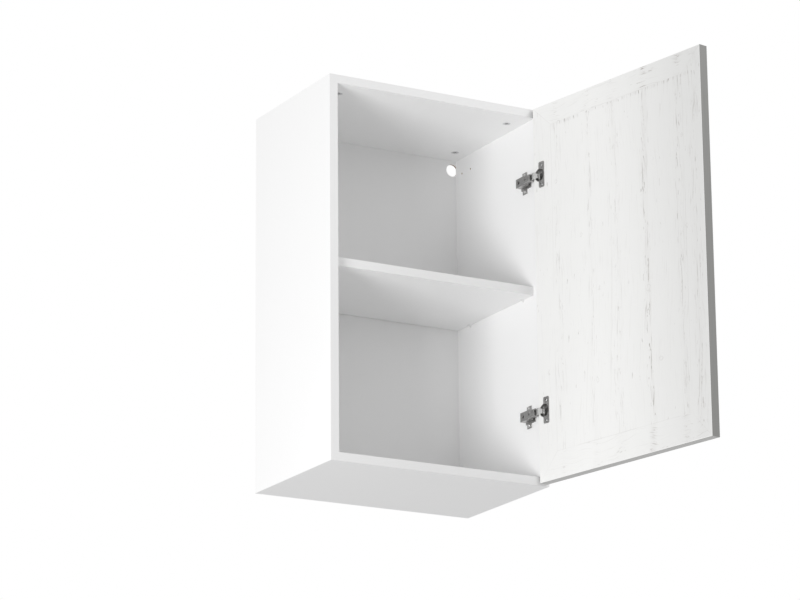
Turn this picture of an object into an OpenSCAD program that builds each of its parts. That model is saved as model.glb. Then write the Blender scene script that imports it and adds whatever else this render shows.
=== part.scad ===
// Hanging wall cabinet: a melamine-faced chipboard carcass with one shelf, a
// hardboard back and one door that opens to the right on two concealed cup hinges.
// Millimetres. The origin is the middle of the wall face: +X to the right,
// +Z up, and the front faces -Y. The door is drawn shut and is then carried to
// its stored opening angle by the hinge links.

/* [Cabinet] */
// Width of the carcass over both side panels
cab_w = 450; // [300:10:600]
// Height of the carcass
cab_h = 720; // [600:10:960]
// Depth of the carcass from the wall to its front edges
cab_d = 295; // [280:5:400]
// Thickness of the chipboard panels
board = 16; // [16:1:19]
// Thickness of the hardboard back
back_t = 3; // [2.5:0.5:5]
// Thickness of the edge bands on the front edges
band_t = 0.5; // [0.4:0.1:2]

/* [Shelf] */
// Height of the shelf's underside above the bottom of the cabinet
shelf_up = 364; // [200:2:500]
// Distance of the shelf's front edge behind the front of the carcass
shelf_setback = 16; // [10:1:40]
// Play between the shelf and each side panel
shelf_play = 0.5; // [0.5:0.1:1.5]

/* [Door] */
// Thickness of the door
door_t = 18; // [16:1:19]
// Gap between the door's long edges and the outer faces of the side panels
door_reveal = 2; // [2:0.5:3]
// Height of the door's lower edge above the bottom of the cabinet
door_low = 3; // [1:0.5:4]
// Distance of the door's upper edge below the top of the cabinet
door_high = 1; // [1:0.5:4]
// Gap between the shut door and the front of the carcass
door_gap = 2.5; // [2.5:0.1:3]
// Opening angle of the door in the stored pose
open_angle = 100; // [0:5:105]
// Thickness of the edge bands round the door
door_band_t = 0.8; // [0.4:0.1:2]

/* [Fittings] */
// Distance of the front row of fittings behind the front of the carcass
row_front = 51.5; // [40:0.5:60]
// Distance between the front and the rear row of fittings
row_pitch = 192; // [160:32:224]
// Diameter of the cam locks
cam_dia = 15; // [12:1:15]
// Distance of the cam locks from the ends of the panels that they sit in
cam_inset = 30; // [24:1:34]
// Diameter of the hanger holes in the back
hanger_hole_dia = 24; // [20:1:26]
// Diameter of the screw holes for the hangers
hanger_screw_dia = 4; // [3:1:5]

/* [Hinges] */
// Distance between the two hinges
hinge_pitch = 450; // [350:10:550]
// Diameter of the hinge cups
cup_dia = 25; // [25:1:26]
// Distance from the door's edge to the rim of a cup
cup_edge = 3.5; // [3.5:0.5:5]
// Height of the flange of a cup
flange_h = 50; // [48:1:56]
// Share of the door's turn that the hinge links make, the other way round
link_share = 0.25; // [0.25:0.05:0.25]

/* [Hidden] */
$fn = 48;

// Carcass
half_w = cab_w / 2;
half_h = cab_h / 2;
inner_x = half_w - board;
inner_z = half_h - board;
front_y = -cab_d;
panel_front_y = front_y + band_t;
panel_d = cab_d - back_t - band_t;
shelf_z = -half_h + shelf_up;
shelf_front_y = front_y + shelf_setback;
shelf_gap_back = 1;
back_margin = 2;
row_ys = [front_y + row_front, front_y + row_front + row_pitch];

// Fittings. fit is the clearance round a piece that sits in its own hole
fit = 0.05;
cam_depth = 12.5;
cam_slot_w = 2;
cam_slot_l = 9;
cam_slot_depth = 2.5;
bolt_r = 3;
bolt_thread_r = 2.5;
bolt_thread_l = 11;
dowel_r = 4;
dowel_l = 30;
dowel_in_side = 10;
dowel_step = 32;
support_r = 2.5;
support_in = 8;
support_out = 6;
support_w = 7;
support_t = 1.4;
nail_r = 0.75;
nail_l = 20;
nail_head_r = 2;
nail_head_t = 0.7;
nails_up = 6;
nails_across = 4;
hanger_drop = 19;
hanger_in = 9;
hanger_screw_depth = 12;
hanger_screw_drop = 46;
hanger_screw_rear = 26;
hanger_screw_pitch = 32;

// Door, drawn shut
door_w = cab_w - 2 * door_reveal;
door_bottom_z = -half_h + door_low;
door_top_z = half_h - door_high;
door_h = door_top_z - door_bottom_z;
door_mid_z = (door_bottom_z + door_top_z) / 2;
door_face_y = front_y - door_gap;
door_edge_x = half_w - door_reveal;

// Hinges. The arm pivot is measured from the right side panel's inner face and
// the front of the carcass, the cup pivot from the shut door's edge and face
pivot_r = 1.1;
running_fit = 0.05;
arm_pivot = [inner_x - 6, front_y + 3];
cup_pivot_w = 8;
cup_pivot_d = 5.5;
cup_pivot_shut = [door_edge_x - cup_pivot_w, door_face_y - cup_pivot_d];
link_turn = -open_angle * link_share;
function turned(a, p) = [cos(a) * p.x - sin(a) * p.y, sin(a) * p.x + cos(a) * p.y];
cup_pivot = arm_pivot + turned(link_turn, cup_pivot_shut - arm_pivot);
hinge_zs = [door_mid_z + hinge_pitch / 2, door_mid_z - hinge_pitch / 2];

cup_r = cup_dia / 2;
cup_wall = 0.8;
cup_depth = 11.5;
cup_x = door_edge_x - cup_edge - cup_r;
rim_r = cup_r + 0.2;
flange_t = 0.9;
flange_w = 15;
flange_x = cup_x - 5;
flange_corner = 3;
cup_screw_pitch = 38;
cup_screw_r = 1.6;
cup_screw_l = 12;
cup_screw_head_r = 3.2;
cup_screw_head_t = 1.2;

link_t = 1.4;
link_half_h = 4.5;
link_eye_r = 1.9;
// Middle line of a link from the arm pivot, with the door shut. It bows round
// the rim of the cup, so that it stays clear of the door's edge when it is open
link_path = [[0, 0], [-1, -5], [-1, -11.5], [1, -14.7], [8, -14.7],
             cup_pivot_shut - arm_pivot];
// The stretch of a link between the arm and the cup pivot that is wider
link_wide_half_h = 6;
link_wide_path = [[-1, -6.5], [-1, -11.5], [1, -14.7], [5, -14.7]];

arm_t = 1.2;
arm_top = 14;
arm_low = 2.2;
arm_nose = 2.5;
arm_half_front = 6.1;
arm_half_rear = 8.5;
arm_step = 21;
arm_rear = 48;
arm_slot_at = 40;
arm_slot_r = 3.2;
arm_slot_l = 3;
side_screw_at = 18;
side_screw_r = 1.6;
arm_screw_r = 2.4;
arm_screw_head_r = 3;
arm_screw_head_t = 1.6;
arm_screw_sunk = 3;

plate_t = 1.6;
plate_front = 15;
plate_rear = 49;
plate_half = 12.5;
wing_at = 37;
wing_w = 15;
wing_h = 42;
saddle_front = 15.5;
saddle_rear = 46.5;
saddle_half = 4.7;
plate_screw_pitch = 32;
plate_screw_r = 2.5;
plate_screw_l = 11;
plate_screw_head_r = 3.6;
plate_screw_head_t = 1.4;

recess_arm = 3.6;
recess_w = 0.8;
recess_depth = 0.9;

melamine = "whitesmoke";
band_white = "gainsboro";
decor = "white";
hardboard = "snow";
nickel = "silver";
steel = "darkgray";
beech = "burlywood";
zinc = "lightslategray";

// ---- small shapes ----

// A box given by its lowest and highest corners
module box(lo, hi) {
    translate(lo) cube(hi - lo);
}

// A rod along X from x0 to x1
module rod_x(x0, x1, y, z, r) {
    translate([x0, y, z]) rotate([0, 90, 0]) cylinder(h = x1 - x0, r = r);
}

// A rod along Y from y0 to y1
module rod_y(y0, y1, x, z, r) {
    translate([x, y0, z]) rotate([-90, 0, 0]) cylinder(h = y1 - y0, r = r);
}

// A cross recess of the given depth, cut downwards from the origin
module cross_recess(arm, depth) {
    translate([-arm / 2, -recess_w / 2, -depth]) cube([arm, recess_w, depth + 1]);
    translate([-recess_w / 2, -arm / 2, -depth]) cube([recess_w, arm, depth + 1]);
}

// A flat-headed screw with its head on the XY plane and its shank down -Z
module screw(shank_r, shank_l, head_r, head_t) {
    difference() {
        union() {
            translate([0, 0, -shank_l]) cylinder(h = shank_l + head_t / 2, r = shank_r);
            cylinder(h = head_t * 0.6, r = head_r);
            translate([0, 0, head_t * 0.6])
                cylinder(h = head_t * 0.4, r1 = head_r, r2 = head_r * 0.8);
        }
        translate([0, 0, head_t]) cross_recess(recess_arm, recess_depth);
    }
}

// A flat strip that follows a path, with round joints, extruded from z0 to z1
module path_strip(path, t, z0, z1) {
    translate([0, 0, z0]) linear_extrude(z1 - z0) {
        for (i = [0 : len(path) - 2]) {
            run = path[i + 1] - path[i];
            translate(path[i]) rotate(atan2(run.y, run.x)) {
                translate([0, -t / 2]) square([norm(run), t]);
                circle(r = t / 2, $fn = 32);
            }
        }
    }
}

// ---- places ----

// Places its children at both joints of a panel's end, front and rear
module at_rows() {
    for (y = row_ys) translate([0, y, 0]) children();
}

// The local frame of a hinge: the side panel's inner face, the front of the
// carcass and the hinge's own height
module at_hinge(i) {
    translate([inner_x, front_y, hinge_zs[i]]) children();
}

// Carries what is drawn on the shut door to the stored opening angle
module on_door() {
    translate([cup_pivot.x, cup_pivot.y, 0]) rotate(open_angle)
        translate([-cup_pivot_shut.x, -cup_pivot_shut.y, 0]) children();
}

// Carries what is drawn on the links of the shut door to the stored pose
module on_link() {
    translate([arm_pivot.x, arm_pivot.y, 0]) rotate(link_turn) children();
}

// Turns +Z to the door's inward normal, at a point of the shut door's inner face
module at_door_face(x, z) {
    translate([x, door_face_y, z]) rotate([-90, 0, 0]) children();
}

// ---- carcass ----

// A side panel on the right; the left one is its mirror image
module side_panel(with_hinges) {
    color(melamine) difference() {
        box([inner_x, panel_front_y, -half_h], [half_w, -back_t, half_h]);
        for (z = [-1, 1] * (half_h - board / 2)) translate([0, 0, z]) {
            at_rows() rod_x(inner_x - 1, inner_x + bolt_thread_l + 0.5, 0, 0,
                            bolt_thread_r + fit);
            for (y = [row_ys[0] + dowel_step, row_ys[1] - dowel_step])
                rod_x(inner_x - 1, inner_x + dowel_in_side + 0.5, y, 0, dowel_r + fit);
        }
        at_rows() rod_x(inner_x - 1, inner_x + support_in + 0.5, 0,
                        shelf_z - support_r, support_r + fit);
        for (y = [0, -hanger_screw_pitch])
            rod_x(inner_x - 1, inner_x + hanger_screw_depth,
                  y - hanger_screw_rear, half_h - hanger_screw_drop,
                  hanger_screw_dia / 2);
        for (z = nail_zs()) rod_y(-nail_l, 1, half_w - board / 2, z, nail_r + fit);
        if (with_hinges)
            for (i = [0, 1], s = [-1, 1])
                at_hinge(i) rod_x(-1, plate_screw_l + 0.5, wing_at,
                                  s * plate_screw_pitch / 2, plate_screw_r + fit);
    }
}

module side_panel_left() mirror([1, 0, 0]) side_panel(false);
module side_panel_right() side_panel(true);

// A horizontal panel from z0 up, with its cams cut in from the given side
module cross_panel(z0, cams_from_below) {
    mid_z = z0 + board / 2;
    color(melamine) difference() {
        box([-inner_x, panel_front_y, z0], [inner_x, -back_t, z0 + board]);
        for (side = [-1, 1]) {
            at_rows() {
                translate([side * (inner_x - cam_inset), 0,
                           cams_from_below ? z0 - 1 : z0 + board - cam_depth])
                    cylinder(h = cam_depth + 1, r = cam_dia / 2 + fit);
                rod_x(min(side * (inner_x - cam_inset), side * (inner_x + 1)),
                      max(side * (inner_x - cam_inset), side * (inner_x + 1)),
                      0, mid_z, bolt_r + 0.5);
            }
            for (y = [row_ys[0] + dowel_step, row_ys[1] - dowel_step])
                rod_x(min(side * (inner_x - 20.5), side * (inner_x + 1)),
                      max(side * (inner_x - 20.5), side * (inner_x + 1)),
                      y, mid_z, dowel_r + fit);
        }
        for (x = nail_xs()) rod_y(-nail_l, 1, x, mid_z, nail_r + fit);
    }
}

module top_panel() cross_panel(inner_z, true);
module bottom_panel() cross_panel(-half_h, false);

module shelf() {
    color(melamine)
        box([-inner_x + shelf_play, shelf_front_y + band_t, shelf_z],
            [inner_x - shelf_play, -back_t - shelf_gap_back, shelf_z + board]);
}

// Heights of the nails in the side panels and places of those in the top and
// bottom, spread evenly and clear of the corners
function nail_zs() = [for (i = [0 : nails_up - 1])
    (half_h - 50) * (2 * i / (nails_up - 1) - 1)];
function nail_xs() = [for (i = [0 : nails_across - 1])
    (inner_x - 60) * (2 * i / (nails_across - 1) - 1)];

// Places its children, drawn along Y, at every nail
module at_nails() {
    for (side = [-1, 1], z = nail_zs())
        translate([side * (half_w - board / 2), 0, z]) children();
    for (side = [-1, 1], x = nail_xs())
        translate([x, 0, side * (half_h - board / 2)]) children();
}

module back_panel() {
    color(hardboard) difference() {
        box([-half_w + back_margin, -back_t, -half_h + back_margin],
            [half_w - back_margin, 0, half_h - back_margin]);
        for (side = [-1, 1])
            rod_y(-back_t - 1, 1, side * (inner_x - hanger_in),
                  inner_z - hanger_drop, hanger_hole_dia / 2);
        at_nails() {
            rod_y(-back_t - 1, 1, 0, 0, nail_r + fit);
            rod_y(-nail_head_t - fit, 1, 0, 0, nail_head_r + fit);
        }
    }
}

module back_nails() {
    color(steel) at_nails() {
        rod_y(-nail_l + 0.5, -nail_head_t / 2, 0, 0, nail_r);
        rod_y(-nail_head_t, 0, 0, 0, nail_head_r);
    }
}

// ---- edge bands ----

module side_band(side) {
    color(band_white)
        box([side > 0 ? inner_x : -half_w, front_y, -half_h],
            [side > 0 ? half_w : -inner_x, panel_front_y, half_h]);
}
module side_band_left() side_band(-1);
module side_band_right() side_band(1);

// The band of a horizontal panel from z0 up, with its face at y0
module cross_band(z0, y0, half_l) {
    color(band_white) box([-half_l, y0, z0], [half_l, y0 + band_t, z0 + board]);
}
module top_band() cross_band(inner_z, front_y, inner_x);
module bottom_band() cross_band(-half_h, front_y, inner_x);
module shelf_band() cross_band(shelf_z, shelf_front_y, inner_x - shelf_play);

// ---- joints of the carcass ----

// A cam lock with its slotted face up at the origin
module cam_lock() {
    difference() {
        translate([0, 0, 0.3 - cam_depth]) cylinder(h = cam_depth - 0.3, r = cam_dia / 2);
        translate([-cam_slot_l / 2, -cam_slot_w / 2, -cam_slot_depth])
            cube([cam_slot_l, cam_slot_w, cam_slot_depth + 1]);
        translate([-cam_slot_w / 2, -cam_slot_l / 2, -cam_slot_depth])
            cube([cam_slot_w, cam_slot_l, cam_slot_depth + 1]);
        for (turn = [0, 180]) rotate([0, 90, turn])
            translate([board / 2, 0, -1])
                cylinder(h = cam_dia, r = bolt_r + 0.6);
    }
}

// The four cams of one panel; up is 1 for slots that face up, -1 for down
module cam_set(face_z, up) {
    color(zinc) for (side = [-1, 1]) at_rows()
        translate([side * (inner_x - cam_inset), 0, face_z])
            rotate([up > 0 ? 0 : 180, 0, 0]) cam_lock();
}
module cam_locks_top() cam_set(inner_z, -1);
module cam_locks_bottom() cam_set(-inner_z, 1);

// The cam bolts on the right; the left ones are their mirror image
module cam_bolts() {
    color(steel) for (z = [-1, 1] * (half_h - board / 2)) translate([0, 0, z])
        at_rows() {
            rod_x(inner_x - cam_inset + 4, inner_x, 0, 0, bolt_r);
            rod_x(inner_x, inner_x + bolt_thread_l, 0, 0, bolt_thread_r);
        }
}
module cam_bolts_left() mirror([1, 0, 0]) cam_bolts();
module cam_bolts_right() cam_bolts();

module dowels() {
    color(beech) for (z = [-1, 1] * (half_h - board / 2),
                      y = [row_ys[0] + dowel_step, row_ys[1] - dowel_step])
        rod_x(inner_x + dowel_in_side - dowel_l, inner_x + dowel_in_side, y, z, dowel_r);
}
module dowels_left() mirror([1, 0, 0]) dowels();
module dowels_right() dowels();

// A shelf support on the right: a pin in the side panel, a flat rest and a web
module shelf_support() {
    rod_x(inner_x, inner_x + support_in, 0, shelf_z - support_r, support_r);
    box([inner_x - support_out, -support_w / 2, shelf_z - support_t],
        [inner_x, support_w / 2, shelf_z]);
    translate([0, support_t / 2, 0]) rotate([90, 0, 0]) linear_extrude(support_t)
        polygon([[inner_x, shelf_z - support_t / 2],
                 [inner_x - support_out, shelf_z - support_t / 2],
                 [inner_x, shelf_z - 2 * support_r]]);
}
module shelf_supports() {
    color(nickel) for (turn = [0, 1]) mirror([turn, 0, 0])
        at_rows() shelf_support();
}

// ---- door ----

module door_panel() {
    color(decor) on_door() difference() {
        box([-door_edge_x + door_band_t, door_face_y - door_t, door_bottom_z + door_band_t],
            [door_edge_x - door_band_t, door_face_y, door_top_z - door_band_t]);
        for (z = hinge_zs) {
            at_door_face(cup_x, z) translate([0, 0, -cup_depth - 0.2])
                cylinder(h = cup_depth + 1, r = cup_r + fit);
            for (s = [-1, 1])
                at_door_face(flange_x, z + s * cup_screw_pitch / 2)
                    translate([0, 0, -cup_screw_l - 0.2])
                        cylinder(h = cup_screw_l + 1, r = cup_screw_r + fit);
        }
    }
}

module door_bands_long() {
    color(decor) on_door() for (x = [-door_edge_x, door_edge_x - door_band_t])
        box([x, door_face_y - door_t, door_bottom_z],
            [x + door_band_t, door_face_y, door_top_z]);
}

module door_bands_short() {
    color(decor) on_door() for (z = [door_bottom_z, door_top_z - door_band_t])
        box([-door_edge_x + door_band_t, door_face_y - door_t, z],
            [door_edge_x - door_band_t, door_face_y, z + door_band_t]);
}

// ---- hinges ----

// Cross-shaped plate on the side panel with a raised saddle for the arm
module mounting_plate(i) {
    color(nickel) at_hinge(i) difference() {
        union() {
            box([-plate_t, plate_front, -plate_half], [0, plate_rear, plate_half]);
            box([-plate_t, wing_at - wing_w / 2, -wing_h / 2],
                [0, wing_at + wing_w / 2, wing_h / 2]);
            box([arm_t - arm_top, saddle_front, -saddle_half],
                [0, saddle_rear, saddle_half]);
        }
        for (s = [-1, 1])
            rod_x(-plate_t - 1, 1, wing_at, s * plate_screw_pitch / 2,
                  plate_screw_r + fit);
        rod_x(-arm_top, -plate_t, arm_slot_at, 0, arm_screw_r + fit);
        rod_x(-arm_top, arm_screw_sunk - arm_top, arm_slot_at, 0, arm_screw_head_r + fit);
        rod_x(-arm_top, -plate_t, side_screw_at, 0, side_screw_r + fit);
    }
}

module plate_screws(i) {
    color(steel) at_hinge(i) for (s = [-1, 1])
        translate([-plate_t, wing_at, s * plate_screw_pitch / 2]) rotate([0, -90, 0])
            screw(plate_screw_r, plate_t + plate_screw_l, plate_screw_head_r,
                  plate_screw_head_t);
}

// Channel over the saddle: a web away from the panel and two flanks, wide at
// the rear, narrow at the nose that holds the pivot
module hinge_arm(i) {
    pivot = arm_pivot - [inner_x, front_y];
    front = pivot.y - arm_nose;
    low = -pivot.x - arm_nose;
    color(nickel) at_hinge(i) difference() {
        union() {
            translate([-arm_top, 0, 0]) rotate([0, 90, 0]) linear_extrude(arm_t)
                polygon([[arm_half_front, front], [arm_half_front, arm_step - 4],
                         [arm_half_rear, arm_step], [arm_half_rear, arm_rear],
                         [-arm_half_rear, arm_rear], [-arm_half_rear, arm_step],
                         [-arm_half_front, arm_step - 4], [-arm_half_front, front]]);
            for (s = [-1, 1]) {
                translate([0, 0, s * (arm_half_front - arm_t / 2) - arm_t / 2])
                    linear_extrude(arm_t) {
                        polygon([[-arm_top, front], [-arm_top, arm_step],
                                 [-low, arm_step], [-low, pivot.y],
                                 [pivot.x, front]]);
                        translate(pivot) circle(r = arm_nose);
                    }
                translate([0, 0, s * (arm_half_rear - arm_t / 2) - arm_t / 2])
                    linear_extrude(arm_t)
                        polygon([[-arm_top, arm_step], [-arm_top, arm_rear],
                                 [-arm_low - 3, arm_rear], [-arm_low, arm_rear - 6],
                                 [-arm_low, arm_step]]);
                box([-arm_top, arm_step - arm_t, s > 0 ? arm_half_front - arm_t : -arm_half_rear],
                    [-low, arm_step, s > 0 ? arm_half_rear : -arm_half_front + arm_t]);
            }
            for (rib = [3.5, 7])
                box([-arm_top - 0.5, rib - 0.7, -arm_half_front + 1],
                    [-arm_top + 0.2, rib + 0.7, arm_half_front - 1]);
        }
        rod_x(-arm_top - 1, -arm_top + arm_t + 1, arm_slot_at - arm_slot_l / 2, 0, arm_slot_r);
        rod_x(-arm_top - 1, -arm_top + arm_t + 1, arm_slot_at + arm_slot_l / 2, 0, arm_slot_r);
        box([-arm_top - 1, arm_slot_at - arm_slot_l / 2, -arm_slot_r],
            [-arm_top + arm_t + 1, arm_slot_at + arm_slot_l / 2, arm_slot_r]);
        rod_x(-arm_top - 1, -arm_top + arm_t + 1, side_screw_at, 0, side_screw_r + fit);
        translate([pivot.x, pivot.y, -arm_half_front - 1])
            cylinder(h = 2 * arm_half_front + 2, r = pivot_r);
    }
}

// The sunk fixing screw in the slot and the side-adjusting screw in front of it
module arm_screws(i) {
    color(steel) at_hinge(i) {
        translate([arm_screw_sunk - arm_top, arm_slot_at, 0]) rotate([0, -90, 0])
            screw(arm_screw_r, arm_top - arm_screw_sunk - plate_t, arm_screw_head_r,
                  arm_screw_head_t);
        translate([0.9 - arm_top, side_screw_at, 0]) rotate([0, -90, 0]) difference() {
            translate([0, 0, plate_t + 0.9 - arm_top])
                cylinder(h = arm_top - plate_t - 0.9, r = side_screw_r);
            cross_recess(side_screw_r * 1.4, recess_depth);
        }
    }
}

module arm_pin(i) {
    color(steel) translate([arm_pivot.x, arm_pivot.y, hinge_zs[i] - arm_half_front])
        cylinder(h = 2 * arm_half_front, r = pivot_r);
}

// A bowed strip with a rolled eye at each end and a wider middle
module hinge_link(i) {
    reach = link_path[len(link_path) - 1];
    color(nickel) translate([0, 0, hinge_zs[i]]) on_link() difference() {
        union() {
            path_strip(link_path, link_t, -link_half_h, link_half_h);
            path_strip(link_wide_path, link_t, -link_wide_half_h, link_wide_half_h);
            for (p = [[0, 0], reach]) translate([p.x, p.y, -link_half_h])
                cylinder(h = 2 * link_half_h, r = link_eye_r);
        }
        for (p = [[0, 0], reach]) translate([p.x, p.y, -link_half_h - 1])
            cylinder(h = 2 * link_half_h + 2, r = pivot_r + running_fit);
    }
}

// Round cup with a rim and an upright flange on the door's inner face
module hinge_cup(i) {
    color(nickel) on_door() difference() {
        union() {
            at_door_face(cup_x, hinge_zs[i]) {
                translate([0, 0, -cup_depth]) cylinder(h = cup_depth, r = cup_r);
                cylinder(h = flange_t, r = rim_r);
            }
            at_door_face(flange_x, hinge_zs[i]) linear_extrude(flange_t)
                flange_outline();
        }
        at_door_face(cup_x, hinge_zs[i]) translate([0, 0, cup_wall - cup_depth])
            cylinder(h = cup_depth + 2, r = cup_r - cup_wall);
        for (s = [-1, 1])
            at_door_face(flange_x, hinge_zs[i] + s * cup_screw_pitch / 2)
                translate([0, 0, -1]) cylinder(h = flange_t + 2, r = cup_screw_r + fit);
        translate([cup_pivot_shut.x, cup_pivot_shut.y, hinge_zs[i] - cup_r])
            cylinder(h = cup_dia, r = pivot_r);
    }
}

// A rectangle with the two corners away from the door's edge rounded
module flange_outline() {
    square([flange_w - 2 * flange_corner, flange_h], center = true);
    square([flange_w, flange_h - 2 * flange_corner], center = true);
    for (sx = [-1, 1], sy = [-1, 1])
        translate([sx * (flange_w / 2 - flange_corner), sy * (flange_h / 2 - flange_corner)])
            circle(r = flange_corner);
}

module cup_pin(i) {
    reach = cup_r + cup_edge - cup_pivot_w + pivot_r;
    half_l = sqrt(pow(cup_r, 2) - pow(reach, 2)) - 0.1;
    color(steel) on_door()
        translate([cup_pivot_shut.x, cup_pivot_shut.y, hinge_zs[i] - half_l])
            cylinder(h = 2 * half_l, r = pivot_r);
}

module cup_screws(i) {
    color(steel) on_door() for (s = [-1, 1])
        at_door_face(flange_x, hinge_zs[i] + s * cup_screw_pitch / 2)
            translate([0, 0, flange_t])
                screw(cup_screw_r, cup_screw_l + flange_t, cup_screw_head_r,
                      cup_screw_head_t);
}

side_panel_left();
side_panel_right();
top_panel();
bottom_panel();
shelf();
back_panel();
side_band_left();
side_band_right();
top_band();
bottom_band();
shelf_band();
back_nails();
cam_locks_top();
cam_locks_bottom();
cam_bolts_left();
cam_bolts_right();
dowels_left();
dowels_right();
shelf_supports();
door_panel();
door_bands_long();
door_bands_short();
mounting_plate(0);  // upper_mounting_plate
plate_screws(0);  // upper_plate_screws
hinge_arm(0);  // upper_hinge_arm
arm_screws(0);  // upper_arm_screws
arm_pin(0);  // upper_arm_pin
hinge_link(0);  // upper_hinge_link
hinge_cup(0);  // upper_hinge_cup
cup_pin(0);  // upper_cup_pin
cup_screws(0);  // upper_cup_screws
mounting_plate(1);  // lower_mounting_plate
plate_screws(1);  // lower_plate_screws
hinge_arm(1);  // lower_hinge_arm
arm_screws(1);  // lower_arm_screws
arm_pin(1);  // lower_arm_pin
hinge_link(1);  // lower_hinge_link
hinge_cup(1);  // lower_hinge_cup
cup_pin(1);  // lower_cup_pin
cup_screws(1);  // lower_cup_screws
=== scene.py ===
import math

import bmesh
import bpy
import numpy as np
from bpy.props import FloatProperty
from bpy.props import FloatVectorProperty
from bpy.props import PointerProperty
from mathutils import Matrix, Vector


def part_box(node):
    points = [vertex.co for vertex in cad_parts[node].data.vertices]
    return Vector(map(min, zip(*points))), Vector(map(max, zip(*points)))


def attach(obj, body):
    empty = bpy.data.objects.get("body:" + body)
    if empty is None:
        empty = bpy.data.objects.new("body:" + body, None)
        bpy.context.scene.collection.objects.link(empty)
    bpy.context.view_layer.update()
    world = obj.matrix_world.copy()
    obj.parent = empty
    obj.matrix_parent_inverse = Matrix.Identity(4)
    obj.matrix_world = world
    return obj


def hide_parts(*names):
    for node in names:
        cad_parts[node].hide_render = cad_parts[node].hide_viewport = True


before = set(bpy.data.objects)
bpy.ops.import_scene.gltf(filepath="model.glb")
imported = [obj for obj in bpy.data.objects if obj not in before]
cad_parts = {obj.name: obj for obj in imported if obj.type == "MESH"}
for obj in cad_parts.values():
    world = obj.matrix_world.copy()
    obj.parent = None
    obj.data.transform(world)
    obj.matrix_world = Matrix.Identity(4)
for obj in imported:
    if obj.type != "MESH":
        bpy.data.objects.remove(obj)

bl_info = {
    "name": "Hanging Wall Cabinet",
    "version": (1, 0, 0),
    "blender": (4, 5, 0),
    "location": "3D View > Sidebar > Wall Cabinet",
    "description": "Finishes a wall cabinet with a pine decor door on two concealed hinges",
    "category": "Object",
}

MM = 0.001
HINGES = ("upper", "lower")
PANELS = ("side_panel_left", "side_panel_right", "top_panel", "bottom_panel", "shelf")
BANDS = ("side_band_left", "side_band_right", "top_band", "bottom_band", "shelf_band")

# Corners sharper than this are eased on the hinge sheet and the screws
EASED_ANGLE = math.radians(32)
# Half the length of the floor's sides
FLOOR_REACH = 20.0

# The turn of the door and of its hinge links from shut to the stored pose, and
# the pivots and the door's hinge-side corner with the door shut, seen from above
DOOR_TURN = math.radians(100)
LINK_TURN = math.radians(-25)
ARM_PIVOT = np.array([0.203, -0.292])
CUP_PIVOT_SHUT = np.array([0.215, -0.303])
DOOR_EDGE_SHUT = np.array([0.223, -0.2975])
DOOR_LOW = -0.357
DOOR_HIGH = 0.359
DOOR_WIDTH = 0.446
DOOR_THICKNESS = 0.018
BACK_THICKNESS = 0.003


def turned(angle, points):
    """Points in the XY plane turned by an angle about the origin."""
    matrix = np.array(
        [[math.cos(angle), -math.sin(angle)], [math.sin(angle), math.cos(angle)]]
    )
    return np.asarray(points) @ matrix.T


# The opened door's hinge-side corner on its inner face, and the way its width
# runs from there
CUP_PIVOT = ARM_PIVOT + turned(LINK_TURN, CUP_PIVOT_SHUT - ARM_PIVOT)
DOOR_EDGE = CUP_PIVOT + turned(DOOR_TURN, DOOR_EDGE_SHUT - CUP_PIVOT_SHUT)
DOOR_ANGLE = DOOR_TURN + math.pi


# ---- materials ----


def new_material(name, colour, roughness, metallic=0.0):
    """A material with its node tree cleared down to one shader. Returns both."""
    made = bpy.data.materials.new(name)
    made.use_nodes = True
    made.diffuse_color = (*colour, 1.0)
    tree = made.node_tree
    tree.nodes.clear()
    output = tree.nodes.new("ShaderNodeOutputMaterial")
    shader = tree.nodes.new("ShaderNodeBsdfPrincipled")
    shader.inputs["Base Color"].default_value = (*colour, 1.0)
    shader.inputs["Roughness"].default_value = roughness
    shader.inputs["Metallic"].default_value = metallic
    tree.links.new(shader.outputs["BSDF"], output.inputs["Surface"])
    return made, shader


def feed(socket, value):
    """Puts a number, a tuple or another node's output into an input."""
    if isinstance(value, bpy.types.NodeSocket):
        socket.id_data.links.new(value, socket)
    else:
        socket.default_value = value


def calc(tree, operation, first, second=0.0, third=0.0):
    """One math node on numbers or outputs."""
    node = tree.nodes.new("ShaderNodeMath")
    node.operation = operation
    for socket, value in zip(node.inputs, (first, second, third)):
        feed(socket, value)
    return node.outputs[0]


def smooth(tree, value, low, high):
    """0 below low, 1 above high and a soft step between; low may be the larger."""
    node = tree.nodes.new("ShaderNodeMapRange")
    node.interpolation_type = "SMOOTHSTEP"
    feed(node.inputs["Value"], value)
    node.inputs["From Min"].default_value = low
    node.inputs["From Max"].default_value = high
    return node.outputs["Result"]


def blended(tree, share, first, second):
    """Mixes two colours."""
    node = tree.nodes.new("ShaderNodeMix")
    node.data_type = "RGBA"
    feed(node.inputs["Factor"], share)
    for socket, value in zip(node.inputs[6:8], (first, second)):
        if not isinstance(value, bpy.types.NodeSocket) and len(value) == 3:
            value = (*value, 1.0)
        feed(socket, value)
    return node.outputs[2]


def place(tree, origin=(0.0, 0.0, 0.0), angle=0.0):
    """Object coordinates seen from an origin and turned about Z."""
    source = tree.nodes.new("ShaderNodeTexCoord")
    node = tree.nodes.new("ShaderNodeMapping")
    node.vector_type = "TEXTURE"
    node.inputs["Location"].default_value = origin
    node.inputs["Rotation"].default_value = (0.0, 0.0, angle)
    tree.links.new(source.outputs["Object"], node.inputs["Vector"])
    return node.outputs["Vector"]


def stretched(tree, vector, scale, shift=(0.0, 0.0, 0.0)):
    """A vector times a scale, plus a shift."""
    node = tree.nodes.new("ShaderNodeMapping")
    feed(node.inputs["Vector"], vector)
    node.inputs["Scale"].default_value = scale
    node.inputs["Location"].default_value = shift
    return node.outputs["Vector"]


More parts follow.
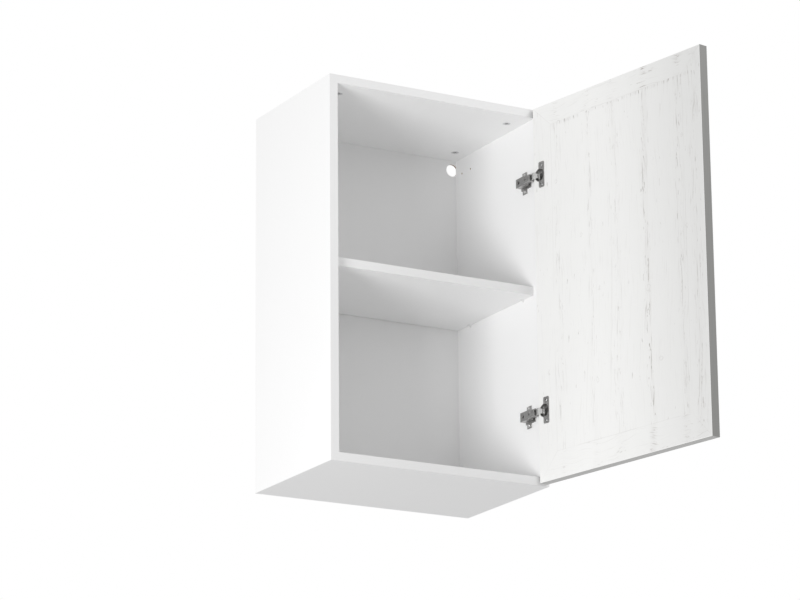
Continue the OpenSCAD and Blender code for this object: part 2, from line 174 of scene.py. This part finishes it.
def parts_of(tree, vector):
    """The X, Y and Z of a vector."""
    node = tree.nodes.new("ShaderNodeSeparateXYZ")
    feed(node.inputs["Vector"], vector)
    return node.outputs["X"], node.outputs["Y"], node.outputs["Z"]


def grain(tree, vector, scale, detail=2.0, roughness=0.5, distortion=0.0):
    """Cloud noise between 0 and 1."""
    node = tree.nodes.new("ShaderNodeTexNoise")
    feed(node.inputs["Vector"], vector)
    node.inputs["Scale"].default_value = scale
    node.inputs["Detail"].default_value = detail
    node.inputs["Roughness"].default_value = roughness
    node.inputs["Distortion"].default_value = distortion
    return node.outputs["Fac"]


def dented(tree, shader, height, depth, strength=1.0):
    """Lets a height between 0 and 1 tilt the surface as if it were depth deep."""
    node = tree.nodes.new("ShaderNodeBump")
    node.inputs["Strength"].default_value = strength
    node.inputs["Distance"].default_value = depth
    feed(node.inputs["Height"], height)
    tree.links.new(node.outputs["Normal"], shader.inputs["Normal"])


def inside_box(tree, vector, low, high, skin):
    """1 where a point lies deeper than skin below the faces of a box."""
    depth = None
    for axis, lowest, highest in zip(parts_of(tree, vector), low, high):
        middle = (lowest + highest) / 2
        half = (highest - lowest) / 2 - skin
        away = calc(tree, "ABSOLUTE", calc(tree, "SUBTRACT", axis, middle))
        left = calc(tree, "SUBTRACT", half, away)
        depth = left if depth is None else calc(tree, "MINIMUM", depth, left)
    return calc(tree, "GREATER_THAN", depth, 0.0)


def chip_tone(tree, vector):
    """Raw chipboard: pressed chips in browns."""
    chips = tree.nodes.new("ShaderNodeTexVoronoi")
    feed(chips.inputs["Vector"], vector)
    chips.inputs["Scale"].default_value = 650.0
    tone = parts_of(tree, chips.outputs["Color"])[0]
    return blended(tree, tone, (0.50, 0.41, 0.30), (0.70, 0.60, 0.46))


def melamine(name, settings, box):
    """White melamine paper on chipboard: a slightly pearled face, and raw chips
    wherever a bore or an edge other than the rear one cuts below it."""
    colour = settings.board_colour
    made, shader = new_material(name, colour, 0.42)
    tree = made.node_tree
    spot = place(tree)
    cloud = grain(tree, spot, 7.0, 3.0)
    face = blended(tree, cloud, tuple(c * 0.985 for c in colour), tuple(colour))
    low, high = (list(corner) for corner in box)
    high[1] += 2 * MM
    raw = inside_box(tree, spot, low, high, 0.3 * MM)
    feed(shader.inputs["Base Color"], blended(tree, raw, face, chip_tone(tree, spot)))
    pearl = grain(tree, spot, 1400.0, 1.0)
    gloss = grain(tree, spot, 60.0, 2.0)
    worn = calc(tree, "MULTIPLY_ADD", gloss, 0.08, 0.38)
    feed(shader.inputs["Roughness"], calc(tree, "MULTIPLY_ADD", raw, 0.4, worn))
    dented(tree, shader, pearl, 0.02 * MM, 0.5)
    return made


def edge_band(name, settings):
    """Thin white plastic band with the faint draw lines of its making."""
    colour = settings.band_colour
    made, shader = new_material(name, colour, 0.4)
    tree = made.node_tree
    spot = place(tree)
    lines = grain(tree, stretched(tree, spot, (900.0, 900.0, 900.0)), 1.0, 1.0)
    cloud = grain(tree, spot, 20.0, 2.0)
    feed(
        shader.inputs["Base Color"],
        blended(tree, cloud, tuple(c * 0.97 for c in colour), tuple(colour)),
    )
    dented(tree, shader, lines, 0.02 * MM, 0.4)
    return made


def hardboard(name, settings):
    """White lacquer on the cabinet side of the board, raw brown fibre behind it."""
    colour = settings.back_colour
    made, shader = new_material(name, colour, 0.5)
    tree = made.node_tree
    spot = place(tree)
    depth = parts_of(tree, spot)[1]
    raw = calc(tree, "GREATER_THAN", depth, 0.1 * MM - BACK_THICKNESS)
    fibre = grain(tree, stretched(tree, spot, (1.0, 1.0, 1.0)), 900.0, 4.0, 0.7, 1.5)
    brown = blended(tree, fibre, (0.16, 0.085, 0.04), (0.34, 0.20, 0.10))
    cloud = grain(tree, spot, 9.0, 3.0)
    white = blended(tree, cloud, tuple(c * 0.98 for c in colour), tuple(colour))
    feed(shader.inputs["Base Color"], blended(tree, raw, white, brown))
    feed(shader.inputs["Roughness"], calc(tree, "MULTIPLY_ADD", raw, 0.25, 0.5))
    dented(tree, shader, fibre, 0.04 * MM, 0.3)
    return made


def band_around(tree, value, centre, width):
    """1 at a value, fading to 0 at width away from it."""
    away = calc(tree, "ABSOLUTE", calc(tree, "SUBTRACT", value, centre))
    return smooth(tree, away, width, 0.0)


def streaks(tree, across, along, through, fine, long, low, high, seed):
    """Broken dark lines along the grain: noise squeezed across the grain and
    drawn out along it, kept only where it is strongest."""
    node = tree.nodes.new("ShaderNodeCombineXYZ")
    feed(node.inputs["X"], across)
    feed(node.inputs["Y"], through)
    feed(node.inputs["Z"], along)
    spread = stretched(tree, node.outputs["Vector"], (fine, 40.0, long), (seed, seed, seed))
    return smooth(tree, grain(tree, spread, 1.0, 3.0, 0.65, 0.15), low, high)


def pine_decor(name, settings):
    """Whitewashed pine printed as a flush mitred frame round a planked field.
    The frame's rails run across and its stiles and field upwards; hairlines mark
    the mitres and the frame's inner edge, and worn streaks follow the planks."""
    colour = settings.decor_colour
    made, shader = new_material(name, colour, 0.5)
    tree = made.node_tree
    spot = place(tree, (DOOR_EDGE[0], DOOR_EDGE[1], DOOR_LOW), DOOR_ANGLE)
    wide, deep, tall = parts_of(tree, spot)
    height = DOOR_HIGH - DOOR_LOW

    left = calc(tree, "DIVIDE", wide, settings.stile_width)
    right = calc(
        tree, "DIVIDE", calc(tree, "SUBTRACT", DOOR_WIDTH, wide), settings.stile_width
    )
    lower = calc(tree, "DIVIDE", tall, settings.lower_rail)
    upper = calc(
        tree, "DIVIDE", calc(tree, "SUBTRACT", height, tall), settings.upper_rail
    )
    stile = calc(tree, "MINIMUM", left, right)
    rail = calc(tree, "MINIMUM", lower, upper)
    nearest = calc(tree, "MINIMUM", stile, rail)
    framed = calc(tree, "LESS_THAN", nearest, 1.0)
    railed = calc(tree, "MULTIPLY", calc(tree, "LESS_THAN", rail, stile), framed)

    # Wavering lines for the joints of the frame
    waver = grain(tree, spot, 45.0, 3.0)
    waver = calc(tree, "MULTIPLY", calc(tree, "SUBTRACT", waver, 0.5), 0.03)
    inner_line = band_around(tree, calc(tree, "ADD", nearest, waver), 1.0, 0.022)
    mitre = calc(tree, "ADD", calc(tree, "SUBTRACT", stile, rail), waver)
    mitre_line = calc(tree, "MULTIPLY", band_around(tree, mitre, 0.0, 0.03), framed)
    broken = smooth(tree, grain(tree, spot, 14.0, 4.0), 0.3, 0.7)
    joints = calc(tree, "MAXIMUM", inner_line, mitre_line)
    joints = calc(tree, "MULTIPLY", joints, broken)

    # Grain runs along the piece of wood that a point belongs to
    across = tree.nodes.new("ShaderNodeMix")
    feed(across.inputs["Factor"], railed)
    feed(across.inputs[2], wide)
    feed(across.inputs[3], tall)
    along = tree.nodes.new("ShaderNodeMix")
    feed(along.inputs["Factor"], railed)
    feed(along.inputs[2], tall)
    feed(along.inputs[3], wide)
    across, along = across.outputs[0], along.outputs[0]

    # Slow bends of the grain, as round hidden knots
    bend = grain(tree, stretched(tree, spot, (9.0, 9.0, 3.0)), 1.0, 2.0)
    bent = calc(tree, "MULTIPLY_ADD", calc(tree, "SUBTRACT", bend, 0.5), 0.05, across)

    fine = streaks(tree, bent, along, deep, 330.0, 14.0, 0.54, 0.74, 3.0)
    dashes = streaks(tree, bent, along, deep, 210.0, 40.0, 0.58, 0.68, 11.0)
    ticks = streaks(tree, bent, along, deep, 170.0, 26.0, 0.66, 0.72, 17.0)
    soft = streaks(tree, bent, along, deep, 60.0, 2.5, 0.35, 0.75, 23.0)
    flames = streaks(tree, bent, along, deep, 150.0, 2.2, 0.6, 0.72, 31.0)

    # The planks of the field show their worn joints as bands of streaks
    sway = grain(tree, stretched(tree, spot, (2.0, 2.0, 5.0)), 1.0, 2.0)
    swayed = calc(tree, "MULTIPLY_ADD", calc(tree, "SUBTRACT", sway, 0.5), 0.03, wide)
    bands = None
    for centre, width, strength in (
        (0.150, 0.012, 0.35),
        (0.215, 0.022, 0.35),
        (0.298, 0.013, 1.00),
        (0.385, 0.015, 0.60),
        (0.425, 0.020, 0.50),
        (0.062, 0.016, 0.25),
    ):
        one = calc(tree, "MULTIPLY", band_around(tree, swayed, centre, width), strength)
        bands = one if bands is None else calc(tree, "MAXIMUM", bands, one)
    top_band = band_around(tree, calc(tree, "ADD", upper, waver), 1.05, 0.16)
    top_band = calc(tree, "MULTIPLY", top_band, smooth(tree, wide, 0.03, 0.10))
    bands = calc(tree, "MAXIMUM", bands, calc(tree, "MULTIPLY", top_band, 0.8))

    # A few small knots and ticks
    knots = None
    for x, z, size in (
        (0.160, 0.160, 5.0),
        (0.325, 0.165, 6.0),
        (0.298, 0.300, 8.0),
        (0.170, 0.330, 4.0),
        (0.400, 0.390, 4.5),
        (0.060, 0.560, 4.0),
        (0.125, 0.440, 3.5),
        (0.395, 0.560, 3.5),
        (0.030, 0.200, 3.5),
    ):
        node = tree.nodes.new("ShaderNodeVectorMath")
        node.operation = "DISTANCE"
        flat = stretched(tree, spot, (1.0, 0.0, 0.6))
        feed(node.inputs[0], flat)
        node.inputs[1].default_value = (x, 0.0, z * 0.6)
        ripple = grain(tree, spot, 180.0, 3.0)
        away = calc(tree, "MULTIPLY_ADD", ripple, 9 * MM, node.outputs["Value"])
        ring = band_around(tree, away, (size * 0.5 + 4.5) * MM, 1.4 * MM)
        knots = ring if knots is None else calc(tree, "MAXIMUM", knots, ring)

    worn = calc(tree, "MULTIPLY", fine, calc(tree, "MULTIPLY_ADD", bands, 0.9, 0.12))
    worn = calc(tree, "MULTIPLY_ADD", dashes, calc(tree, "MULTIPLY", bands, 0.9), worn)
    worn = calc(tree, "MULTIPLY_ADD", ticks, 0.45, worn)
    worn = calc(tree, "MULTIPLY_ADD", flames, 0.10, worn)
    flecks = calc(tree, "MULTIPLY_ADD", dashes, 0.7, 0.3)
    worn = calc(tree, "MULTIPLY_ADD", calc(tree, "MULTIPLY", knots, flecks), 0.5, worn)
    worn = calc(tree, "MULTIPLY_ADD", joints, 0.2, worn)
    worn = calc(tree, "MULTIPLY_ADD", calc(tree, "MULTIPLY", soft, bands), 0.12, worn)
    worn = calc(tree, "MINIMUM", calc(tree, "MULTIPLY", worn, settings.wear), 1.0)

    cloud = grain(tree, stretched(tree, spot, (14.0, 14.0, 3.0)), 1.0, 3.0)
    wash = blended(tree, cloud, tuple(c * 0.965 for c in colour), tuple(colour))
    # Painted shade: the wash is darkened smoothly towards the door's free edge.
    shaded_wash = tuple(c * settings.free_edge_shade for c in colour)
    wash = blended(tree, smooth(tree, wide, 0.12, 0.50), wash, shaded_wash)
    stain = blended(tree, cloud, settings.streak_colour, (0.42, 0.38, 0.35))
    feed(shader.inputs["Base Color"], blended(tree, worn, wash, stain))
    feed(shader.inputs["Roughness"], calc(tree, "MULTIPLY_ADD", worn, 0.15, 0.48))
    dented(tree, shader, worn, -0.05 * MM, 0.5)
    return made


def decor_band(name, colour, settings):
    """Edge band of the door in the same decor, greyer, with upright fine lines; its grey is
    partly the band's own tone and partly painted shade.
    Where the band's own thickness shows on the door's faces it is whitewashed."""
    made, shader = new_material(name, colour, 0.45)
    tree = made.node_tree
    spot = place(tree, (DOOR_EDGE[0], DOOR_EDGE[1], DOOR_LOW), DOOR_ANGLE)
    wide, deep, tall = parts_of(tree, spot)
    lines = streaks(tree, deep, tall, wide, 900.0, 9.0, 0.35, 0.75, 5.0)
    patches = grain(tree, stretched(tree, spot, (60.0, 120.0, 8.0)), 1.0, 3.0)
    tone = calc(tree, "MULTIPLY_ADD", patches, 0.3, calc(tree, "MULTIPLY", lines, 0.5))
    dark = tuple(c * 0.80 for c in colour)
    # Painted shade: the colour passed in is darkened, more for the long edges than for the
    # ends, over the band's own grey.
    band_tone_and_shade = blended(tree, tone, tuple(colour), dark)
    middle = calc(tree, "SUBTRACT", calc(tree, "ABSOLUTE", deep), DOOR_THICKNESS / 2)
    outwards = calc(tree, "ABSOLUTE", middle)
    face = calc(tree, "GREATER_THAN", outwards, DOOR_THICKNESS / 2 - 0.05 * MM)
    wash = tuple(settings.decor_colour)
    feed(shader.inputs["Base Color"], blended(tree, face, band_tone_and_shade, wash))
    dented(tree, shader, lines, 0.03 * MM, 0.4)
    return made


def plated(name, colour, roughness, scratch=0.5, size=220.0):
    """Nickel or zinc plate: metal with tumbled scratches and small stains."""
    made, shader = new_material(name, colour, roughness, 1.0)
    tree = made.node_tree
    spot = place(tree)
    stain = grain(tree, spot, size, 3.0, 0.6)
    fine = grain(tree, stretched(tree, spot, (1.0, 1.0, 4.0)), size * 9, 2.0)
    tone = blended(tree, stain, tuple(c * 0.78 for c in colour), tuple(colour))
    feed(shader.inputs["Base Color"], tone)
    feed(
        shader.inputs["Roughness"],
        calc(tree, "MULTIPLY_ADD", stain, 0.18, roughness - 0.08),
    )
    dented(tree, shader, fine, 0.02 * MM, scratch)
    return made


def beech(name):
    """Turned beech with short flecks along its length."""
    made, shader = new_material(name, (0.55, 0.36, 0.19), 0.6)
    tree = made.node_tree
    spot = place(tree)
    flecks = grain(tree, stretched(tree, spot, (60.0, 900.0, 900.0)), 1.0, 3.0)
    tone = blended(tree, flecks, (0.42, 0.25, 0.12), (0.62, 0.43, 0.25))
    feed(shader.inputs["Base Color"], tone)
    dented(tree, shader, flecks, 0.05 * MM, 0.4)
    return made


def dress(node, finish):
    """Gives a CAD node its finish."""
    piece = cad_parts[node]
    piece.data.materials.clear()
    piece.data.materials.append(finish)
    return piece


def softened(node, body, width, finish):
    """A copy of a CAD node with its corners eased to a small radius and its
    round faces shaded smooth. It takes the node's place on its body."""
    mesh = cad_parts[node].data.copy()
    mesh.name = f"{node}_eased"
    shape = bmesh.new()
    shape.from_mesh(mesh)
    bmesh.ops.remove_doubles(shape, verts=shape.verts, dist=0.001 * MM)
    bmesh.ops.dissolve_limit(
        shape, angle_limit=math.radians(0.5), verts=shape.verts, edges=shape.edges
    )
    shape.to_mesh(mesh)
    shape.free()
    mesh.polygons.foreach_set("use_smooth", [True] * len(mesh.polygons))
    mesh.set_sharp_from_angle(angle=EASED_ANGLE)
    mesh.materials.clear()
    mesh.materials.append(finish)
    piece = bpy.data.objects.new(f"{node}_eased", mesh)
    bpy.context.scene.collection.objects.link(piece)
    easing = piece.modifiers.new("eased_corners", "BEVEL")
    easing.width = width
    easing.segments = 2
    easing.limit_method = "ANGLE"
    easing.angle_limit = EASED_ANGLE
    easing.use_clamp_overlap = True
    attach(piece, body)
    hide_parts(node)
    return piece


# ---- settings ----


class CabinetFinish(bpy.types.PropertyGroup):
    """Colours of the cabinet's boards, bands and metal."""

    board_colour: FloatVectorProperty(
        name="Board", description="Colour of the melamine faces", subtype="COLOR",
        size=3, min=0.0, max=1.0, default=(0.95, 0.95, 0.95),
    )
    band_colour: FloatVectorProperty(
        name="Edge band", description="Colour of the bands on the front edges",
        subtype="COLOR", size=3, min=0.0, max=1.0, default=(0.82, 0.82, 0.82),
    )
    back_colour: FloatVectorProperty(
        name="Back", description="Colour of the back's lacquered face", subtype="COLOR",
        size=3, min=0.0, max=1.0, default=(0.86, 0.86, 0.86),
    )
    plate_colour: FloatVectorProperty(
        name="Nickel", description="Colour of the plated hinge sheet", subtype="COLOR",
        size=3, min=0.0, max=1.0, default=(0.53, 0.525, 0.52),
    )
    link_colour: FloatVectorProperty(
        name="Hinge link", description="Colour of the bright hinge links",
        subtype="COLOR", size=3, min=0.0, max=1.0, default=(0.93, 0.93, 0.92),
    )
    screw_colour: FloatVectorProperty(
        name="Screws", description="Colour of screws and pins", subtype="COLOR",
        size=3, min=0.0, max=1.0, default=(0.50, 0.50, 0.50),
    )
    sheet_easing: FloatProperty(
        name="Sheet easing", description="Radius of the hinge sheet's eased corners",
        default=0.25 * MM, min=0.05 * MM, max=0.5 * MM, unit="LENGTH", precision=5,
    )
    # Painted shade: the screws in the hinge arms are made nearly black to stand for the
    # shade in the recesses they sit in.
    arm_screw_shade_colour: FloatVectorProperty(
        name="Adjusting screws", description="Colour of the screws in the hinge arms",
        subtype="COLOR", size=3, min=0.0, max=1.0, default=(0.10, 0.10, 0.10),
    )
    cam_colour: FloatVectorProperty(
        name="Cam locks", description="Colour of the cast cam locks", subtype="COLOR",
        size=3, min=0.0, max=1.0, default=(0.80, 0.80, 0.81),
    )


class DoorDecor(bpy.types.PropertyGroup):
    """Colours and layout of the printed pine on the door, and the shade painted on it and
    on its edge bands.
    """

    decor_colour: FloatVectorProperty(
        name="Whitewash", description="Colour of the whitewashed wood", subtype="COLOR",
        size=3, min=0.0, max=1.0, default=(0.88, 0.88, 0.87),
    )
    streak_colour: FloatVectorProperty(
        name="Streaks", description="Colour of the worn streaks and knots",
        subtype="COLOR", size=3, min=0.0, max=1.0, default=(0.33, 0.32, 0.31),
    )
    # Painted shade: the door edge colours are partly the bands' own grey and partly painted
    # shade, the long edges darker than the ends.
    long_edge_colour_and_shade: FloatVectorProperty(
        name="Door edge", description="Colour of the bands on the door's long edges",
        subtype="COLOR", size=3, min=0.0, max=1.0, default=(0.31, 0.31, 0.30),
    )
    end_colour_and_shade: FloatVectorProperty(
        name="Door end", description="Colour of the bands on the door's top and bottom",
        subtype="COLOR", size=3, min=0.0, max=1.0, default=(0.60, 0.60, 0.59),
    )
    wear: FloatProperty(
        name="Wear", description="How strongly the streaks show", default=1.15,
        min=0.0, max=2.0,
    )
    # Painted shade: the share of the wash's brightness left at the door's free edge.
    free_edge_shade: FloatProperty(
        name="Free edge shade", description="Brightness of the wash at the door's free edge",
        default=0.78, min=0.3, max=1.0,
    )
    stile_width: FloatProperty(
        name="Stile", description="Width of the printed stiles", default=0.048,
        min=0.02, max=0.1, unit="LENGTH",
    )
    upper_rail: FloatProperty(
        name="Upper rail", description="Height of the printed upper rail",
        default=0.042, min=0.02, max=0.1, unit="LENGTH",
    )
    lower_rail: FloatProperty(
        name="Lower rail", description="Height of the printed lower rail",
        default=0.051, min=0.02, max=0.1, unit="LENGTH",
    )


class StudioSettings(bpy.types.PropertyGroup):
    """Camera, lights and floor round the cabinet."""

    camera_place: FloatVectorProperty(
        name="Camera", description="Where the camera stands", subtype="TRANSLATION",
        size=3, unit="LENGTH", default=(-3.149, -5.702, -1.856),
    )
    camera_pitch: FloatProperty(
        name="Pitch", description="Tilt of the camera, 90 degrees being level",
        subtype="ANGLE", default=math.radians(106.22),
    )
    camera_roll: FloatProperty(
        name="Roll", description="Roll of the camera", subtype="ANGLE",
        default=math.radians(-1.78),
    )
    camera_yaw: FloatProperty(
        name="Yaw", description="Heading of the camera", subtype="ANGLE",
        default=math.radians(-27.70),
    )
    lens: FloatProperty(
        name="Lens", description="Focal length of the camera", default=162.0,
        min=20.0, max=400.0,
    )
    key_power: FloatProperty(
        name="Key", description="Power of the large lamp at the left in watts",
        default=86.0, min=0.0,
    )
    fill_power: FloatProperty(
        name="Fill", description="Power of the lamp high on the right in watts",
        default=28.0, min=0.0,
    )
    ambient: FloatProperty(
        name="Ambient", description="Strength of the even light from all round",
        default=0.64, min=0.0,
    )
    floor_height: FloatProperty(
        name="Floor", description="Height of the floor below the cabinet's middle",
        default=-7.0, unit="LENGTH",
    )


# ---- operators ----


class CABINET_OT_boards(bpy.types.Operator):
    """Finish the side panels, top, bottom and shelf as melamine-faced chipboard"""

    bl_idname = "cabinet.boards"
    bl_label = "Boards"

    def execute(self, context):
        settings = context.scene.cabinet_finish
        for node in PANELS:
            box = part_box(node)
            dress(node, melamine(f"melamine_{node}", settings, box))
        return {"FINISHED"}


class CABINET_OT_bands(bpy.types.Operator):
    """Finish the edge bands on the fronts of the boards"""

    bl_idname = "cabinet.bands"
    bl_label = "Edge bands"

    def execute(self, context):
        finish = edge_band("edge_band_white", context.scene.cabinet_finish)
        for node in BANDS:
            dress(node, finish)
        return {"FINISHED"}


class CABINET_OT_back(bpy.types.Operator):
    """Finish the hardboard back, white inside and raw brown behind"""

    bl_idname = "cabinet.back"
    bl_label = "Back"

    def execute(self, context):
        finish = hardboard("hardboard_white_face", context.scene.cabinet_finish)
        dress("back_panel", finish)
        return {"FINISHED"}


class CABINET_OT_fasteners(bpy.types.Operator):
    """Finish the cam locks, cam bolts, dowels, nails and shelf supports"""

    bl_idname = "cabinet.fasteners"
    bl_label = "Fasteners"

    def execute(self, context):
        settings = context.scene.cabinet_finish
        cam = plated("zinc_cast", settings.cam_colour, 0.45, 0.8)
        steel = plated("steel_fastener", settings.screw_colour, 0.35)
        plastic = edge_band("white_plastic_support", settings)
        wood = beech("beech_dowel")
        for node in ("cam_locks_top", "cam_locks_bottom"):
            dress(node, cam)
        for node in ("cam_bolts_left", "cam_bolts_right", "back_nails"):
            dress(node, steel)
        for node in ("dowels_left", "dowels_right"):
            dress(node, wood)
        dress("shelf_supports", plastic)
        return {"FINISHED"}


class CABINET_OT_door(bpy.types.Operator):
    """Finish the door in whitewashed pine decor with its edge bands"""

    bl_idname = "cabinet.door"
    bl_label = "Door"

    def execute(self, context):
        settings = context.scene.door_decor
        dress("door_panel", pine_decor("pine_decor_white", settings))
        # Painted shade: the long bands get a darker tone than the end bands, over the
        # bands' own grey.
        long_band_tone_and_shade = decor_band("pine_decor_edge_and_shade", settings.long_edge_colour_and_shade, settings)
        dress("door_bands_long", long_band_tone_and_shade)
        end_band_tone_and_shade = decor_band("pine_decor_end_and_shade", settings.end_colour_and_shade, settings)
        dress("door_bands_short", end_band_tone_and_shade)
        return {"FINISHED"}


class CABINET_OT_hinges(bpy.types.Operator):
    """Finish both concealed hinges"""

    bl_idname = "cabinet.hinges"
    bl_label = "Hinges"

    def execute(self, context):
        settings = context.scene.cabinet_finish
        nickel = plated("nickel_sheet", settings.plate_colour, 0.34)
        bright = plated("bright_link", settings.link_colour, 0.2, 0.3)
        steel = plated("steel_screw_head", settings.screw_colour, 0.3)
        shiny = plated("bright_screw_head", settings.link_colour, 0.25)
        # Painted shade: the arm screws are nearly black to stand for the shade in their
        # recesses.
        recess_shade = plated("arm_screw_painted_shade", settings.arm_screw_shade_colour, 0.4)
        sheet = settings.sheet_easing
        head = settings.sheet_easing * 0.6
        for hinge in HINGES:
            for part, body, width, finish, slot_name in (
                ("mounting_plate", "cabinet", sheet, nickel, "nickel_plate"),
                ("hinge_arm", "cabinet", sheet, nickel, "nickel_plate"),
                ("hinge_cup", "door", sheet, nickel, "nickel_plate"),
                ("hinge_link", "links", sheet, bright, "bright_steel"),
                ("plate_screws", "cabinet", head, shiny, "steel_screw"),
                ("arm_screws", "cabinet", head, recess_shade, "steel_screw"),
                ("cup_screws", "door", head, steel, "steel_screw"),
            ):
                softened(f"{hinge}_{part}", body, width, finish)
            for part in ("arm_pin", "cup_pin"):
                dress(f"{hinge}_{part}", steel)
        return {"FINISHED"}


def area_lamp(name, power, size, spot, target):
    """A square lamp at a spot, facing a target."""
    data = bpy.data.lights.new(name, "AREA")
    data.energy = power
    data.shape = "SQUARE"
    data.size = size
    lamp = bpy.data.objects.new(name, data)
    bpy.context.scene.collection.objects.link(lamp)
    lamp.location = spot
    aim = [t - s for t, s in zip(target, spot)]
    level = math.hypot(aim[0], aim[1])
    lamp.rotation_euler = (
        math.atan2(level, -aim[2]), 0.0, math.atan2(-aim[0], aim[1])
    )
    return lamp


class CABINET_OT_studio(bpy.types.Operator):
    """Set up the pale floor, the soft lamps, the even light and the camera"""

    bl_idname = "cabinet.studio"
    bl_label = "Studio"

    def execute(self, context):
        settings = context.scene.cabinet_studio
        scene = context.scene
        scene.view_settings.view_transform = "Standard"

        corners = np.array([[-1, -1], [1, -1], [1, 1], [-1, 1]]) * FLOOR_REACH
        level = np.full((4, 1), settings.floor_height)
        floor_mesh = bpy.data.meshes.new("floor")
        floor_mesh.from_pydata(np.hstack([corners, level]).tolist(), [], [(0, 1, 2, 3)])
        floor = bpy.data.objects.new("floor", floor_mesh)
        scene.collection.objects.link(floor)
        paint, _ = new_material("pale_floor", (0.85, 0.85, 0.85), 0.8)
        floor_mesh.materials.append(paint)

        area_lamp(
            "key_lamp", settings.key_power, 1.4, (-3.25, -2.1, -1.35), (0.0, -0.2, 0.0)
        )
        area_lamp(
            "fill_lamp", settings.fill_power, 1.4, (2.3, -2.5, 2.3), (0.0, -0.2, 0.0)
        )

        world = bpy.data.worlds.new("studio_air")
        world.use_nodes = True
        tree = world.node_tree
        tree.nodes.clear()
        output = tree.nodes.new("ShaderNodeOutputWorld")
        seen = tree.nodes.new("ShaderNodeLightPath")
        light = tree.nodes.new("ShaderNodeBackground")
        light.inputs["Strength"].default_value = settings.ambient
        light.inputs["Color"].default_value = (1.0, 1.0, 1.0, 1.0)
        plain = tree.nodes.new("ShaderNodeBackground")
        plain.inputs["Strength"].default_value = 1.0
        plain.inputs["Color"].default_value = (1.0, 1.0, 1.0, 1.0)
        mixer = tree.nodes.new("ShaderNodeMixShader")
        tree.links.new(seen.outputs["Is Camera Ray"], mixer.inputs["Fac"])
        tree.links.new(light.outputs["Background"], mixer.inputs[1])
        tree.links.new(plain.outputs["Background"], mixer.inputs[2])
        tree.links.new(mixer.outputs["Shader"], output.inputs["Surface"])
        scene.world = world

        data = bpy.data.cameras.new("camera")
        data.sensor_width = 36.0
        data.lens = settings.lens
        data.clip_end = 100.0
        camera = bpy.data.objects.new("camera", data)
        scene.collection.objects.link(camera)
        camera.location = settings.camera_place
        camera.rotation_mode = "YXZ"
        camera.rotation_euler = (
            settings.camera_pitch, settings.camera_roll, settings.camera_yaw
        )
        scene.camera = camera
        return {"FINISHED"}


class CABINET_PT_panel(bpy.types.Panel):
    """Lists the steps that finish the cabinet"""

    bl_idname = "CABINET_PT_panel"
    bl_label = "Wall Cabinet"
    bl_space_type = "VIEW_3D"
    bl_region_type = "UI"
    bl_category = "Wall Cabinet"

    def draw(self, context):
        for step in OPERATORS:
            self.layout.operator(step.bl_idname)
        for name in ("cabinet_finish", "door_decor", "cabinet_studio"):
            group = getattr(context.scene, name)
            for prop in group.__annotations__:
                self.layout.prop(group, prop)


GROUPS = (CabinetFinish, DoorDecor, StudioSettings)
OPERATORS = (
    CABINET_OT_boards,
    CABINET_OT_bands,
    CABINET_OT_back,
    CABINET_OT_fasteners,
    CABINET_OT_door,
    CABINET_OT_hinges,
    CABINET_OT_studio,
)


def register():
    """Adds the settings, the operators and the panel to Blender."""
    for cls in (*GROUPS, *OPERATORS, CABINET_PT_panel):
        bpy.utils.register_class(cls)
    bpy.types.Scene.cabinet_finish = PointerProperty(type=CabinetFinish)
    bpy.types.Scene.door_decor = PointerProperty(type=DoorDecor)
    bpy.types.Scene.cabinet_studio = PointerProperty(type=StudioSettings)


def unregister():
    """Takes everything out again."""
    del bpy.types.Scene.cabinet_studio
    del bpy.types.Scene.door_decor
    del bpy.types.Scene.cabinet_finish
    for cls in reversed((*GROUPS, *OPERATORS, CABINET_PT_panel)):
        bpy.utils.unregister_class(cls)


def plain(bounds):
    """Bounds as plain lists of numbers."""
    return [[float(value) for value in corner] for corner in bounds]


def main():
    """Registers the add-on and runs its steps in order."""
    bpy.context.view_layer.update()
    register()
    bpy.ops.cabinet.boards()
    bpy.ops.cabinet.bands()
    bpy.ops.cabinet.back()
    bpy.ops.cabinet.fasteners()
    bpy.ops.cabinet.door()
    bpy.ops.cabinet.hinges()
    bpy.ops.cabinet.studio()


if __name__ == "__main__":
    main()
